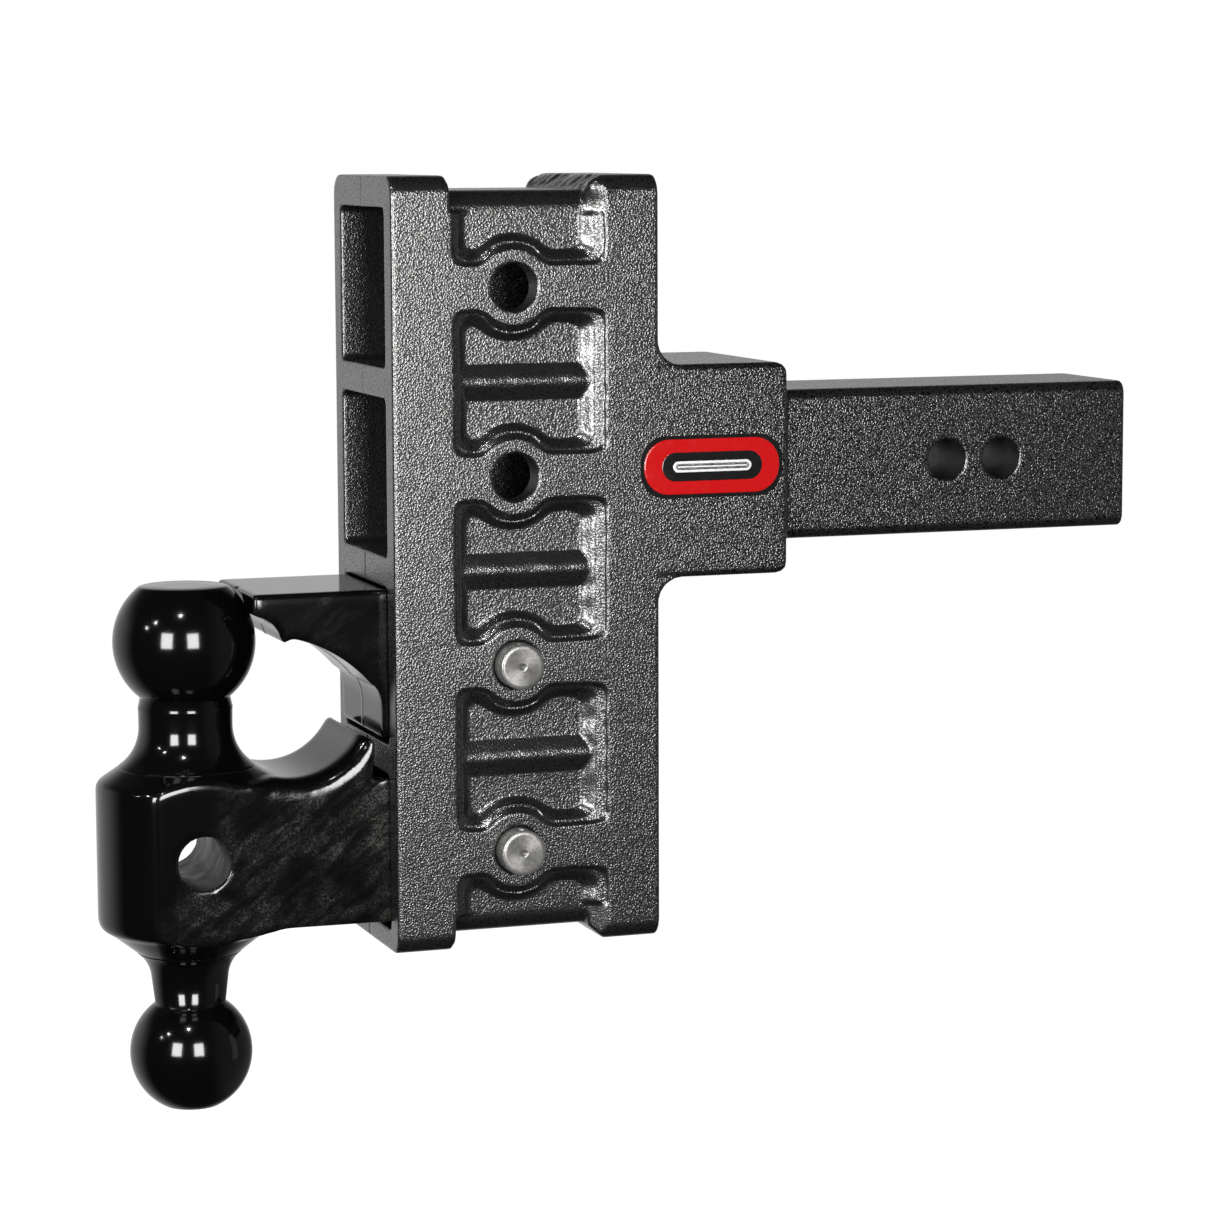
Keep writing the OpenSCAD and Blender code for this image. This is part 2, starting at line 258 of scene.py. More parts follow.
def black_forging(name, marks):
    """Gloss black over a forged skin: scale marks of a given strength on the flat sides."""
    s = Shader(name)
    s.set(Metallic=0.0, IOR=1.5, Specular_IOR_Level=0.4)
    across = s.math("ABSOLUTE", s.place_axis("Y"))
    side = s.remap(across, TANG_SIDE_Y - 1.6 * MM, TANG_SIDE_Y - 0.4 * MM)
    patches = s.remap(s.noise(26, detail=4, roughness=0.6, distortion=0.6), 0.34, 0.68)
    streaks = s.noise(1, detail=3, roughness=0.6, vector=s.stretched((45, 60, 200), 38))
    drags = s.remap(streaks, 0.32, 0.68, 0.15)
    specks = s.remap(s.noise(1100, detail=3, roughness=0.7), 0.30, 0.72, 0.1)
    scale = s.math("MULTIPLY", s.math("MULTIPLY", patches, s.math("MULTIPLY", drags, specks)), side)
    scale = s.math("MULTIPLY", scale, marks)
    s.link(s.mix(scale, (0.0013, 0.0013, 0.0014), (0.021, 0.0198, 0.0180)), s.bsdf.inputs["Base Color"])
    s.link(s.remap(scale, 0.0, 0.8, 0.11, 0.36), s.bsdf.inputs["Roughness"])
    peel = s.bump(s.noise(260, detail=1), 0.015 * MM, 0.3)
    s.link(s.bump(scale, 0.05 * MM, 0.5, peel), s.bsdf.inputs["Normal"])
    return s.material


def turned_steel():
    """Stainless steel, turned about Y, with its gloss drawn out along the lathe marks."""
    s = Shader("turned_stainless")
    s.set(Metallic=0.72, IOR=1.5, Anisotropic=0.5)
    grain = s.noise(900, detail=2)
    stain = s.noise(70, detail=3)
    tone = s.mix(s.remap(stain, 0.3, 0.75), (0.25, 0.246, 0.240), (0.165, 0.162, 0.158))
    s.link(tone, s.bsdf.inputs["Base Color"])
    s.link(s.remap(grain, 0.3, 0.7, 0.30, 0.42), s.bsdf.inputs["Roughness"])
    tangent = s.add("ShaderNodeTangent", direction_type="RADIAL", axis="Y")
    s.link(tangent.outputs[0], s.bsdf.inputs["Tangent"])
    s.link(s.bump(grain, 0.01 * MM, 0.3), s.bsdf.inputs["Normal"])
    return s.material


def bright_wire():
    """Drawn steel wire with faint lengthwise scuffs."""
    s = Shader("drawn_steel_wire")
    s.set(Metallic=1.0)
    scuffs = s.noise(240, detail=4, roughness=0.7, distortion=1.0)
    s.link(s.ramp(scuffs, (0.3, (0.42, 0.41, 0.40)), (0.7, (0.66, 0.65, 0.64))), s.bsdf.inputs["Base Color"])
    s.link(s.remap(scuffs, 0.3, 0.7, 0.34, 0.20), s.bsdf.inputs["Roughness"])
    s.link(s.bump(scuffs, 0.02 * MM, 0.3), s.bsdf.inputs["Normal"])
    return s.material


def silver_print():
    """Pale matt print on the badge, slightly mottled."""
    s = Shader("silver_print")
    s.set(Metallic=0.0, Coat_Weight=0.4, Coat_Roughness=0.08)
    mottle = s.noise(420, detail=3, roughness=0.6)
    tone = s.mix(s.remap(mottle, 0.3, 0.7), (0.50, 0.50, 0.50), (0.58, 0.575, 0.57))
    s.link(tone, s.bsdf.inputs["Base Color"])
    s.link(s.remap(mottle, 0.3, 0.7, 0.30, 0.42), s.bsdf.inputs["Roughness"])
    s.link(s.bump(s.noise(500, detail=1), 0.01 * MM, 0.3), s.bsdf.inputs["Normal"])
    return s.material


def label_film(name, colour, dusty):
    """Glossy printed film with a slight orange peel and a little dust."""
    s = Shader(name)
    s.set(Metallic=0.0, Coat_Weight=0.5, Coat_Roughness=0.06)
    dust = s.noise(300, detail=4, roughness=0.7)
    s.link(s.mix(s.remap(dust, 0.62, 0.85, 0.0, 0.08), colour, dusty), s.bsdf.inputs["Base Color"])
    s.link(s.remap(dust, 0.3, 0.8, 0.14, 0.22), s.bsdf.inputs["Roughness"])
    s.link(s.bump(s.noise(500, detail=1), 0.01 * MM, 0.3), s.bsdf.inputs["Normal"])
    return s.material


FINISH = {
    "coat": hammertone(),
    "bore": bore_paint_and_shade(),
    "forging": black_forging("gloss_black_forging", 1.0),
    "smooth_forging": black_forging("gloss_black_smooth_forging", 0.4),
    "turned": turned_steel(),
    "wire": bright_wire(),
    "print": silver_print(),
    "badge_black": label_film("badge_black_film", (0.006, 0.006, 0.006), (0.03, 0.03, 0.03)),
    "badge_red": label_film("badge_red_film", (0.36, 0.004, 0.005), (0.34, 0.05, 0.05)),
}


# ---- mesh helpers ----------------------------------------------------------

def finish_piece(ob, finish, body, replaces=()):
    """Material, smooth shading, body, slot and the CAD nodes it stands for."""
    ob.data.materials.clear()
    ob.data.materials.append(FINISH[finish])
    ob.data.polygons.foreach_set("use_smooth", [True] * len(ob.data.polygons))
    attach(ob, body)
    if replaces:
        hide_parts(*replaces)


def new_object(name, mesh):
    ob = bpy.data.objects.new(name, mesh)
    bpy.context.scene.collection.objects.link(ob)
    return ob


def apply_modifiers(ob):
    """Replaces the object's mesh by its evaluated one."""
    bpy.context.view_layer.update()
    shown = ob.evaluated_get(bpy.context.evaluated_depsgraph_get())
    mesh = bpy.data.meshes.new_from_object(shown)
    ob.modifiers.clear()
    old, ob.data = ob.data, mesh
    bpy.data.meshes.remove(old)


def copy_of(node, name, voxel):
    """A closed, evenly meshed copy of a CAD node."""
    source = frame["nodes"][node]
    mesh = source.data.copy()
    mesh.transform(source.matrix_world)
    mesh.materials.clear()
    bm = bmesh.new()
    bm.from_mesh(mesh)
    bmesh.ops.remove_doubles(bm, verts=bm.verts, dist=0.002 * MM)
    bm.to_mesh(mesh)
    bm.free()
    ob = new_object(name, mesh)
    remesh = ob.modifiers.new("remesh", "REMESH")
    remesh.mode = "VOXEL"
    remesh.voxel_size = voxel * 1.0
    apply_modifiers(ob)
    return ob


def points_of(ob):
    co = np.empty(len(ob.data.vertices) * 3)
    ob.data.vertices.foreach_get("co", co)
    return co.reshape(-1, 3)


def put_points(ob, co):
    ob.data.vertices.foreach_set("co", co.ravel())
    ob.data.update()


def soften(ob, rounds, weight=None, co=None):
    """Moves each point towards its neighbours' middle, where weight lets it."""
    co = points_of(ob) if co is None else co
    ends = np.empty(len(ob.data.edges) * 2, np.int64)
    ob.data.edges.foreach_get("vertices", ends)
    a, b = ends[0::2], ends[1::2]
    n = len(co)
    degree = np.maximum(np.bincount(a, minlength=n) + np.bincount(b, minlength=n), 1)
    pull = 0.5 * (np.ones(n) if weight is None else weight)
    for _ in range(rounds):
        for k in range(3):
            total = np.bincount(a, co[b, k], n) + np.bincount(b, co[a, k], n)
            co[:, k] += pull * (total / degree - co[:, k])
    put_points(ob, co)
    return co


def fade(x, low, high):
    """0 below low, 1 above high, smooth between."""
    t = np.clip((x - low) / (high - low), 0, 1)
    return t * t * (3 - 2 * t)


def waves(co, size, seed):
    """Smooth pseudo-random field of about -1 to 1, with bumps of the given size."""
    rng = np.random.default_rng(seed)
    field = np.zeros(len(co))
    for _ in range(9):
        way = rng.normal(size=3)
        way *= 2 * math.pi / (size * rng.uniform(0.8, 1.6) * np.linalg.norm(way))
        field += np.sin(co @ way + rng.uniform(0, 2 * math.pi))
    return field / 4.5


def thin_out(ob, most_faces):
    """Decimates to at most this many triangles."""
    ob.data.calc_loop_triangles()
    have = len(ob.data.loop_triangles)
    if have > most_faces:
        thin = ob.modifiers.new("thin", "DECIMATE")
        thin.ratio = most_faces / have
        apply_modifiers(ob)


def lathe(name, profile, x):
    """Turns (radius, height) points about a vertical axis at x."""
    steps = 128
    turns = [2 * math.pi * i / steps for i in range(steps)]
    bm = bmesh.new()
    rings = []
    for r, z in profile:
        if r == 0:
            rings.append([bm.verts.new((x, 0, z))])
        else:
            rings.append([bm.verts.new((x + r * math.cos(t), r * math.sin(t), z)) for t in turns])
    for low, high in zip(rings, rings[1:]):
        for i in range(steps):
            j = (i + 1) % steps
            corners = [low[i % len(low)], low[j % len(low)], high[j % len(high)], high[i % len(high)]]
            unique = list(dict.fromkeys(corners))
            bm.faces.new(unique)
    bmesh.ops.recalc_face_normals(bm, faces=bm.faces)
    mesh = bpy.data.meshes.new(name)
    bm.to_mesh(mesh)
    bm.free()
    return new_object(name, mesh)


# ---- drop frame ------------------------------------------------------------

# Distances along the frame are from its front face. A pocket's wall is walked from its
# lip, at 0, to its foot, at 1: a lip, a shallow ledge, and a steep foot. At the rear
# wall, REAR_WALK is how far it is walked at each REAR_DISTANCE from the lip.
POCKET_FRONT = 25.7 * MM
POCKET_REAR = 91.5 * MM
POCKET_HALF = 30 * MM
POCKET_DEPTH = 5.5 * MM
FRONT_SLOPE = 6.8 * MM
WALL_SLOPE = 6.4 * MM
LIP_END, LIP_SHARE = 0.18, 0.18
LEDGE_END, LEDGE_SHARE = 0.44, 0.14
REAR_DISTANCE = [-200 * MM, 0, 0.9 * MM, 4.6 * MM, 10.4 * MM, 200 * MM]
REAR_WALK = [-20, 0, LIP_END, LEDGE_END, 1, 20]
CORNER_BLEND = 0.8
BOSS_BLEND = 0.45
BOSS_R = 15.5 * MM
RIB_HALF = 7.6 * MM
RIB_HEIGHT = 2.7 * MM
RIB_CREST = 0.22
BORE_R = 9.825 * MM
HITCH_BORE_R = 8.75 * MM
NOTCH_DEPTH = 6 * MM
SHOULDER_R = 9 * MM
SKIN_FRONT, SKIN_REAR, SKIN_FADE = 18 * MM, 100 * MM, 4 * MM
RAMP_FRONT, RAMP_REAR = 83 * MM, 97 * MM
LUMP = Vector((FRONT_X + 88 * MM, 0, TOP_Z - 6 * MM))
LUMP_INSET, LUMP_HEIGHT, LUMP_SIZE = 4 * MM, 1.3 * MM, 4.5 * MM
PARTING_WIDTH, PARTING_DEPTH = 0.6 * MM, 0.5 * MM
BORE_MARGIN, BORE_RIM = 0.25 * MM, 0.35 * MM


def smooth_min(a, b, k):
    """Smaller of two fields, blended where they differ by less than k."""
    h = np.maximum(k - np.abs(a - b), 0) / k
    return np.minimum(a, b) - h * h * k / 4


def wall_profile(t):
    """Share of the pocket's depth that is reached at t along a wall."""
    lip = LIP_SHARE * fade(t, 0, LIP_END)
    ledge = LEDGE_SHARE * np.clip(t / LEDGE_END, 0, 1)
    straight = np.clip((t - LEDGE_END) / (0.96 - LEDGE_END), 0, 1)
    foot = 0.5 * fade(t, LEDGE_END - 0.06, 1) + 0.5 * straight
    return lip + ledge + (1 - LIP_SHARE - LEDGE_SHARE) * foot


def pocket_depth(co):
    """Depth of the side pockets below the frame's side, for every point."""
    along, z = co[:, 0] - FRONT_X, co[:, 2]
    wobble = waves(co, 16 * MM, 5) * 0.2 * MM
    middles = [(a + b) / 2 for a, b in zip(BORE_Z, BORE_Z[1:])]
    spans = [(m - POCKET_HALF, m + POCKET_HALF) for m in middles]
    spans.append((BORE_Z[0] + PITCH / 2 - POCKET_HALF, TOP_Z + 20 * MM))
    spans.append((BOTTOM_Z - 20 * MM, BORE_Z[3] - PITCH / 2 + POCKET_HALF))
    rear = POCKET_REAR - along + wobble + waves(co, 9 * MM, 21) * 0.3 * MM
    rear = np.interp(rear, REAR_DISTANCE, REAR_WALK)
    ends = np.minimum((along - POCKET_FRONT + wobble) / FRONT_SLOPE, rear)
    walls = np.max([np.minimum(z - low, high - z) for low, high in spans], axis=0)
    inside = smooth_min(ends, (walls + wobble) / WALL_SLOPE, CORNER_BLEND)
    for bore_z in BORE_Z:
        clear = np.hypot(co[:, 0] - PIN_X, z - bore_z) - BOSS_R
        inside = smooth_min(inside, clear / WALL_SLOPE, BOSS_BLEND)
    depth = POCKET_DEPTH * wall_profile(inside)
    for m in middles:
        ridge = np.sqrt(((z - m) / RIB_HALF) ** 2 + RIB_CREST ** 2) - RIB_CREST
        rib = RIB_HEIGHT * np.maximum(1 - ridge / (math.hypot(1, RIB_CREST) - RIB_CREST), 0)
        rib *= 1 + 0.06 * waves(co, 14 * MM, 31)
        depth = np.minimum(depth, POCKET_DEPTH - rib)
    return depth


def normals_of(ob):
    n = np.empty(len(ob.data.vertices) * 3)
    ob.data.vertices.foreach_get("normal", n)
    return n.reshape(-1, 3)


def parting_ridge(co, normal, where, height):
    """Raises a thin ridge along the mid-plane, or sinks a groove where the height is negative."""
    ridge = where * height * np.exp(-(co[:, 1] / PARTING_WIDTH) ** 2)
    co += normal * ridge[:, None]


def true_bores(ob, bores, radius):
    """Moves points near the edge of each Y-wise bore, stated as (x, z), onto its circle."""
    co = points_of(ob)
    for x, z in bores:
        dx, dz = co[:, 0] - x, co[:, 2] - z
        far = np.hypot(dx, dz)
        near = np.abs(far - radius) < 0.75 * MM
        co[near, 0] = x + dx[near] * radius / far[near]
        co[near, 2] = z + dz[near] * radius / far[near]
    put_points(ob, co)


def paint_bores(ob, bores, radius):
    """Gives the walls of Y-wise bores, stated as (x, z), the bore finish, whose near-black tone is painted
    shade inside the bores.
    """
    ob.data.materials.append(FINISH["bore"])
    centre = np.empty(len(ob.data.polygons) * 3)
    ob.data.polygons.foreach_get("center", centre)
    centre = centre.reshape(-1, 3)
    side = np.abs(centre[:, 1]).max()
    index = np.zeros(len(centre), np.int32)
    for x, z in bores:
        near = np.hypot(centre[:, 0] - x, centre[:, 2] - z) < radius + BORE_MARGIN
        index[near & (np.abs(centre[:, 1]) < side - BORE_RIM)] = 1
    ob.data.polygons.foreach_set("material_index", index)


def cast_frame():
    """The ladder casting: rounded edges, softly cast pockets, slight unevenness.

    The skin mask is 1 on the sides where the pockets are, and 0 at bores and notches.
    """
    ob = copy_of("drop_frame", "drop_frame_casting", 0.75 * MM)
    co = soften(ob, 3)
    normal = normals_of(ob)
    along = co[:, 0] - FRONT_X
    below = SIDE_Y - np.abs(co[:, 1])
    skin = fade(np.abs(normal[:, 1]), 0.45, 0.6) * (below < 8 * MM)
    for edge in (TOP_Z - co[:, 2], co[:, 2] - BOTTOM_Z):
        skin *= fade(edge, NOTCH_DEPTH + SHOULDER_R, NOTCH_DEPTH + SHOULDER_R + 1.5 * MM)
    skin *= fade(along, SKIN_FRONT, SKIN_FRONT + SKIN_FADE) * fade(SKIN_REAR - along, 0, SKIN_FADE)
    for z in BORE_Z:
        skin *= fade(np.hypot(co[:, 0] - PIN_X, co[:, 2] - z), BORE_R + 0.6 * MM, BORE_R + 1.8 * MM)
    target = np.sign(co[:, 1]) * (SIDE_Y - pocket_depth(co))
    co[:, 1] += skin * (target - co[:, 1])
    co = soften(ob, 1, skin, co)
    ramp = fade(along, RAMP_FRONT, RAMP_FRONT + 3 * MM) * fade(RAMP_REAR - along, 0, 4 * MM)
    ramp *= fade(co[:, 2], TOP_Z - 9 * MM, TOP_Z - 5 * MM)
    co[:, 0] += ramp * waves(co, 7 * MM, 11) * 0.9 * MM
    across = np.abs(co[:, 1]) - SIDE_Y + LUMP_INSET
    far = np.hypot(co[:, 0] - LUMP.x, np.hypot(across, co[:, 2] - LUMP.z))
    swell = LUMP_HEIGHT * np.exp(-(far / LUMP_SIZE) ** 2) * (co[:, 2] < TOP_Z - 1.5 * MM)
    co += normal * swell[:, None]
    front = fade(-normal[:, 0], 0.8, 0.95) * (along < 3 * MM)
    parting_ridge(co, normal, front * (0.6 + 0.4 * waves(co, 25 * MM, 3)), -PARTING_DEPTH)
    put_points(ob, co)
    bores = [(PIN_X, z) for z in BORE_Z]
    true_bores(ob, bores, BORE_R)
    thin_out(ob, 196_000)
    finish_piece(ob, "coat", "hitch", ["drop_frame"])
    paint_bores(ob, bores, BORE_R)


def coated_shank():
    """The square bar with rounded edges and two painted bores."""
    ob = copy_of("shank", "shank_bar", 0.9 * MM)
    soften(ob, 2)
    holes = [MOUNTS["hitch_pin_bore"], MOUNTS["hitch_pin_bore_inner"]]
    bores = [(hole.x, hole.z) for hole in holes]
    true_bores(ob, bores, HITCH_BORE_R)
    thin_out(ob, 80_000)
    finish_piece(ob, "coat", "hitch", ["shank"])
    paint_bores(ob, bores, HITCH_BORE_R)


# ---- forgings ----------------------------------------------------------------

FLARE_HIGH = BLOCK_TOP + 22.4 * MM
FLARE_LOW = BLOCK_BOTTOM - 21.1 * MM
CUT_HIGH = BLOCK_TOP + 5.5 * MM
CUT_LOW = BLOCK_BOTTOM - 9.4 * MM
CUT_REACH = BALL_X + 33 * MM
TANG_HALF = 32 * MM
CROSS_BORE_R = 11.1 * MM
CROSS_X, CROSS_Z = MOUNTS["block_cross_bore"].x, MOUNTS["block_cross_bore"].z
SADDLE_X = FRONT_X - 38 * MM
SADDLE_Z = MOUNT_Z + 62.5 * MM
SADDLE_R = 30 * MM
SADDLE_ROLL = 9 * MM
SADDLE_DROP = 0.62
SADDLE_LOW, SADDLE_HIGH = -136 * MM, -126 * MM


def arc(cx, cz, r, a0, a1, n):
    """Points on an arc, angles in degrees."""
    turns = [math.radians(a0 + (a1 - a0) * i / n) for i in range(n + 1)]
    return [(cx + r * math.cos(t), cz + r * math.sin(t)) for t in turns]


def upper_ball():
    """Upper ball, its neck with a fine shoulder, and the flare down into the block."""
    flat = 23.2 * MM
    neck = 19.05 * MM
    edge = math.degrees(math.asin(flat / UPPER_BALL_R))
    waist = -math.degrees(math.acos(neck / UPPER_BALL_R))
    z_neck = UPPER_BALL_Z + UPPER_BALL_R * math.sin(math.radians(waist))
    top = UPPER_BALL_Z + flat
    rim = UPPER_BALL_R * math.cos(math.radians(edge))
    profile = [(0, top), (rim * 0.5, top), (rim - 0.6 * MM, top), (rim, top - 0.2 * MM)]
    profile += arc(0, UPPER_BALL_Z, UPPER_BALL_R, edge - 1.5, waist, 46)
    profile += [(neck - 0.45 * MM, z_neck - 0.5 * MM), (neck + 0.45 * MM, z_neck - 4.6 * MM),
                (neck + 0.45 * MM, z_neck - 5.2 * MM), (neck + 0.35 * MM, z_neck - 6.2 * MM)]
    profile += arc(neck + 20.3 * MM, FLARE_HIGH, 20 * MM, 180, 235, 22)
    profile += [(28.6 * MM, CUT_HIGH - 0.4 * MM), (26 * MM, CUT_HIGH - 2 * MM), (0, CUT_HIGH - 2 * MM)]
    return lathe("upper_ball_turned", profile, BALL_X)


def lower_ball():
    """Lower ball with its flat foot and the neck up into the block."""
    neck = 14.6 * MM
    flat = -22.8 * MM
    waist = math.degrees(math.acos(neck / LOWER_BALL_R))
    edge = math.degrees(math.asin(flat / LOWER_BALL_R))
    bottom = LOWER_BALL_Z + flat
    rim = LOWER_BALL_R * math.cos(math.radians(edge))
    profile = [(0, CUT_LOW + 2 * MM), (19 * MM, CUT_LOW + 2 * MM)]
    profile += arc(neck + 16.35 * MM, FLARE_LOW, 15 * MM, 128, 173, 18)
    profile += arc(0, LOWER_BALL_Z, LOWER_BALL_R, waist, edge + 1.5, 40)
    profile += [(rim, bottom + 0.2 * MM), (rim - 0.5 * MM, bottom), (0, bottom)]
    return lathe("lower_ball_turned", profile, BALL_X)


def cut_at_ball(ob, z, side):
    """Cuts the balls' end of the forging off beyond a height and closes the cut.

    Side is 1 for what lies above and -1 for what lies below. What lies behind
    CUT_REACH stays.
    """
    bm = bmesh.new()
    bm.from_mesh(ob.data)
    geom = bm.verts[:] + bm.edges[:] + bm.faces[:]
    bmesh.ops.bisect_plane(bm, geom=geom, plane_co=(0, 0, z), plane_no=(0, 0, 1))
    beyond = []
    for face in bm.faces:
        centre = face.calc_center_median()
        if (centre.z - z) * side > 0 and centre.x < CUT_REACH:
            beyond.append(face)
    bmesh.ops.delete(bm, geom=beyond, context="FACES")
    bmesh.ops.holes_fill(bm, edges=[e for e in bm.edges if e.is_boundary], sides=0)
    bm.to_mesh(ob.data)
    bm.free()


def ball_mount():
    """Forged block, arm and saddle, with the two turned balls.

    The saddle's long edges are rolled over, and what stands outside the frame is
    worn softer than the tang.
    """
    ob = copy_of("dual_ball_mount", "dual_ball_mount_forging", 1.0 * MM)
    co = soften(ob, 6)
    along = co[:, 0] - FRONT_X
    dx, dz = co[:, 0] - SADDLE_X, co[:, 2] - SADDLE_Z
    out = np.hypot(dx, dz)
    across = np.clip(np.abs(co[:, 1]) - (TANG_HALF - SADDLE_ROLL), 0, SADDLE_ROLL - 0.1 * MM)
    drop = (SADDLE_ROLL - np.sqrt(SADDLE_ROLL ** 2 - across ** 2)) * SADDLE_DROP
    drop *= fade(along, -60 * MM, -48 * MM) * fade(-1 * MM - along, 0, 7 * MM)
    drop *= fade(SADDLE_R + 20 * MM - out, 0, 19 * MM)
    co[:, 0] += drop * dx / out
    co[:, 2] += drop * dz / out
    saddle = fade(along, -58 * MM, -50 * MM) * fade(-1 * MM - along, 0.0, 2 * MM)
    saddle *= fade(co[:, 2], SADDLE_LOW, SADDLE_HIGH)
    co = soften(ob, 8, saddle, co)
    outside = fade(-2 * MM - along, 0.0, 2 * MM)
    far = np.hypot(co[:, 0] - CROSS_X, co[:, 2] - CROSS_Z)
    soften(ob, 8, outside * fade(far, 13 * MM, 15 * MM) * 0.8, co)
    true_bores(ob, [(CROSS_X, CROSS_Z)], CROSS_BORE_R)
    cut_at_ball(ob, CUT_HIGH, 1)
    cut_at_ball(ob, CUT_LOW, -1)
    thin_out(ob, 120_000)
    parts = [ob, upper_ball(), lower_ball()]
    chosen = {"active_object": ob, "selected_objects": parts, "selected_editable_objects": parts}
    with bpy.context.temp_override(**chosen):
        bpy.ops.object.join()
    finish_piece(ob, "forging", "hitch", ["dual_ball_mount"])
    paint_bores(ob, [(CROSS_X, CROSS_Z)], CROSS_BORE_R)


def lock():
    """Forged hook block of the pintle lock, with a parting line inside the hook."""
    ob = copy_of("pintle_lock", "pintle_lock_forging", 0.9 * MM)
    co = soften(ob, 4)
    along = co[:, 0] - FRONT_X
    co = soften(ob, 5, fade(-1 * MM - along, 0.0, 2 * MM), co)
    normal = normals_of(ob)
    inner = fade(-normal[:, 0], 0.2, 0.4) * fade(-1 * MM - along, 0.0, 2 * MM) * (along > -45 * MM)
    parting_ridge(co, normal, inner, PARTING_DEPTH)
    put_points(ob, co)
    thin_out(ob, 120_000)
    finish_piece(ob, "smooth_forging", "hitch", ["pintle_lock"])


# ---- weld and badge ----------------------------------------------------------

WELD_CORNER = 5 * MM
RIPPLE = 2.6 * MM
PLATE_CORNER = 11 * MM
FIELD_SHARE, FIELD_HEIGHT = 0.74, 12 * MM
BAR_SHARE, BAR_HEIGHT = 0.58, 4.6 * MM
PRINT_CROWN = 0.01 * MM


def shank_weld():
    """Fillet bead round the shank at the socket's mouth, with the welder's ripples."""
    low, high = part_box("shank_weld")
    leg = high.x - MOUTH_X
    half = high.y - leg
    flat = half - WELD_CORNER
    per_side, per_corner, steps = 96, 14, 10
    path = []
    for side in range(4):
        turn = side * math.pi / 2
        stops = [(half, -flat + 2 * flat * i / per_side, 0.0) for i in range(per_side)]
        for i in range(per_corner):
            a = math.pi / 2 * i / per_corner
            stops.append((flat + WELD_CORNER * math.cos(a), flat + WELD_CORNER * math.sin(a), a))
        for y, z, a in stops:
            turned_y = y * math.cos(turn) - z * math.sin(turn)
            turned_z = y * math.sin(turn) + z * math.cos(turn)
            path.append((turned_y, turned_z, a + turn))
    bm = bmesh.new()
    rings = []
    walked = 0.0
    for i, (y, z, a) in enumerate(path):
        before = path[i - 1]
        walked += math.hypot(y - before[0], z - before[1]) if i else 0.0
        phase = walked / RIPPLE % 1.0
        swell = 0.80 + 0.17 * math.sqrt(1 - (1 - phase) ** 2)
        out = Vector((0, math.cos(a), math.sin(a)))
        root = Vector((MOUTH_X - 0.15 * MM, y, z)) - out * 0.15 * MM
        ring = [bm.verts.new(root)]
        for k in range(steps + 1):
            t = math.pi / 2 * k / steps
            reach = leg * swell * (0.78 + 0.22 * abs(math.cos(2 * t)))
            ring.append(bm.verts.new(root + Vector((reach * math.cos(t), 0, 0)) + out * reach * math.sin(t)))
        rings.append(ring)
    for ring, following in zip(rings, rings[1:] + rings[:1]):
        for k in range(len(ring)):
            j = (k + 1) % len(ring)
            bm.faces.new([ring[k], ring[j], following[j], following[k]])
    bmesh.ops.recalc_face_normals(bm, faces=bm.faces)
    mesh = bpy.data.meshes.new("shank_weld_bead")
    bm.to_mesh(mesh)
    bm.free()
    ob = new_object("shank_weld_bead", mesh)
    finish_piece(ob, "coat", "hitch", ["shank_weld"])


def crowned_plate(name, centre, length, height, y_under, thick, crown):
    """Stadium or round-cornered plate on a side face, with a rolled edge and a slight crown."""
    radius = min(PLATE_CORNER, height / 2)
    insets = [0, 0, 0.12 * MM, 0.4 * MM, 0.9 * MM, 2 * MM, 0.45 * radius, 0.7 * radius]
    lifts = [0, 0.55, 0.85, 1.0, 1.0, 1.0, 1.0, 1.0]
    bm = bmesh.new()
    rings = []
    for inset, lift in zip(insets, lifts):
        r = radius - inset
        rise = thick * lift + crown * (inset / radius) ** 0.8
        ring = []
        for quarter in range(4):
            sx, sz = ((1, 1), (-1, 1), (-1, -1), (1, -1))[quarter]
            for i in range(13):
                a = math.pi / 2 * (quarter + i / 12)
                x = sx * (length / 2 - radius) + r * math.cos(a)
                z = sz * (height / 2 - radius) + r * math.sin(a)
                ring.append(bm.verts.new((centre.x + x, y_under - rise, centre.z + z)))
        rings.append(ring)
    for low, high in zip(rings, rings[1:]):
        for i in range(len(low)):
            j = (i + 1) % len(low)
            bm.faces.new([low[i], low[j], high[j], high[i]])
    bm.faces.new(rings[-1])
    bm.faces.new(rings[0])
    bmesh.ops.remove_doubles(bm, verts=bm.verts, dist=0.001 * MM)
    bmesh.ops.recalc_face_normals(bm, faces=bm.faces)
    mesh = bpy.data.meshes.new(name)
    bm.to_mesh(mesh)
    bm.free()
    return new_object(name, mesh)


def badge():
    """Plain badge: red crowned face, black field and a pale bar with no lettering."""
    face_low, face_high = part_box("badge_face")
    centre = (face_low + face_high) / 2
    length, height = face_high.x - face_low.x, face_high.z - face_low.z
    under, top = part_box("badge_base")[0].y, face_low.y
    face = crowned_plate("badge_face_domed", centre, length, height,
                         under + 0.1 * MM, under - top + 0.05 * MM, 0.05 * MM)
    finish_piece(face, "badge_red", "hitch", ["badge_face"])
    field = crowned_plate("badge_field", centre, FIELD_SHARE * length, FIELD_HEIGHT,
                          top + 0.06 * MM, 0.12 * MM, PRINT_CROWN)
    finish_piece(field, "badge_black", "hitch")
    bar = crowned_plate("badge_bar", centre, BAR_SHARE * length, BAR_HEIGHT,
                        top - 0.02 * MM, 0.14 * MM, PRINT_CROWN)
    finish_piece(bar, "print", "hitch")


# ---- cross pins ------------------------------------------------------------

PIN_R = 9.525 * MM
PIN_EDGE = 1.3 * MM
CLIP_HOLE_R = 2.1 * MM
CENTRE_MARK = 1.3 * MM


